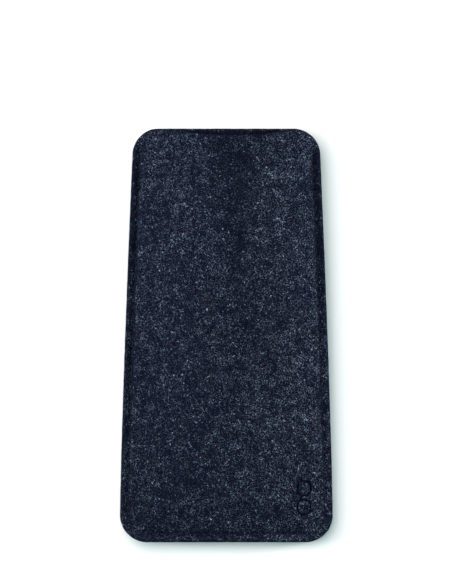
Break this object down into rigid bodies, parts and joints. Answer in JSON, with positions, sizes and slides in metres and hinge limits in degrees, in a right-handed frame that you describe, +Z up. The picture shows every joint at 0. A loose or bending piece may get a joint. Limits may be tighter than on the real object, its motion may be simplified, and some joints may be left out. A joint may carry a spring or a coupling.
{
  "type": "eyeglasses case",
  "caption": "Open-topped felt sleeve for eyeglasses: a tapered pocket with rounded corners, sewn round its sides and closed end and swelling towards its mouth.",
  "frame": {"origin": "on the surface that the sleeve lies on, under the middle of its outline", "axes": "+Y along the sleeve from its closed end to its mouth, +Z up out of the front panel, +X to the right seen from the front with the mouth up"},
  "size_m": [0.0924, 0.18, 0.0223],
  "materials": {
    "navy_felt": "matt mottled navy felt with fine pale fibres",
    "seam_thread": "blue-black sewing thread"
  },
  "bodies": {
    "root": {"front_panel": "navy_felt", "back_panel": "navy_felt", "needle_thread": "seam_thread", "bobbin_thread": "seam_thread"}
  },
  "joints": []
}
